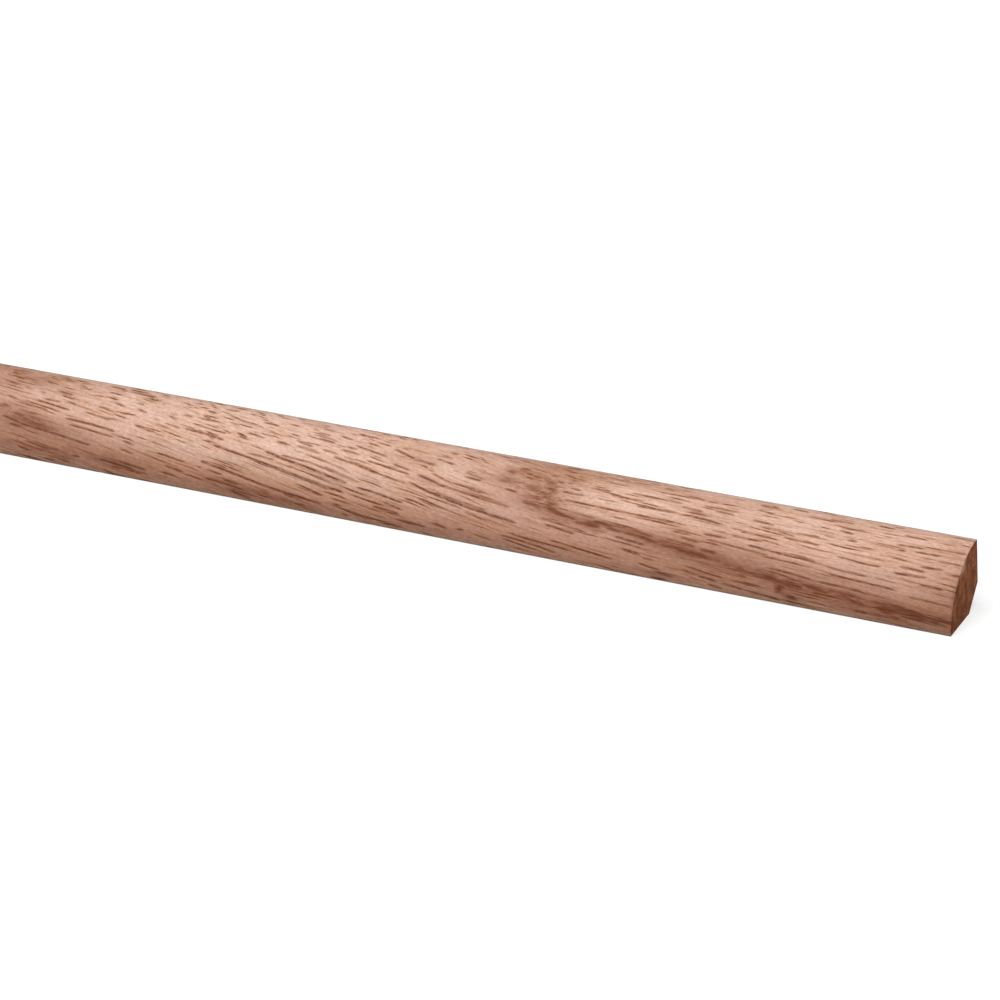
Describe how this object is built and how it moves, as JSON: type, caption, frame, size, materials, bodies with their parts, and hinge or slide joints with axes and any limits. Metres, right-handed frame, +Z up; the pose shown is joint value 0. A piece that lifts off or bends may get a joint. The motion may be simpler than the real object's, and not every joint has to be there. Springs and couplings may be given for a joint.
{
  "type": "quarter round moulding",
  "caption": "Straight stick of bare hardwood quarter round: a convex quarter-circle face, two flat sides at right angles and a bevelled back corner, cut square at both ends.",
  "frame": {"origin": "on the floor face's plane, at mid-length, midway between the toe of the round face and the wall face", "axes": "+X along the stick, +Y towards the wall face, +Z up from the floor face; the round face looks towards -Y and +Z"},
  "size_m": [2.4384, 0.019, 0.019],
  "materials": {
    "bare_hardwood": "bare, machine-planed, open-pored reddish hardwood with no stain or varnish"
  },
  "bodies": {
    "root": {"quarter_round": "bare_hardwood"}
  },
  "joints": []
}
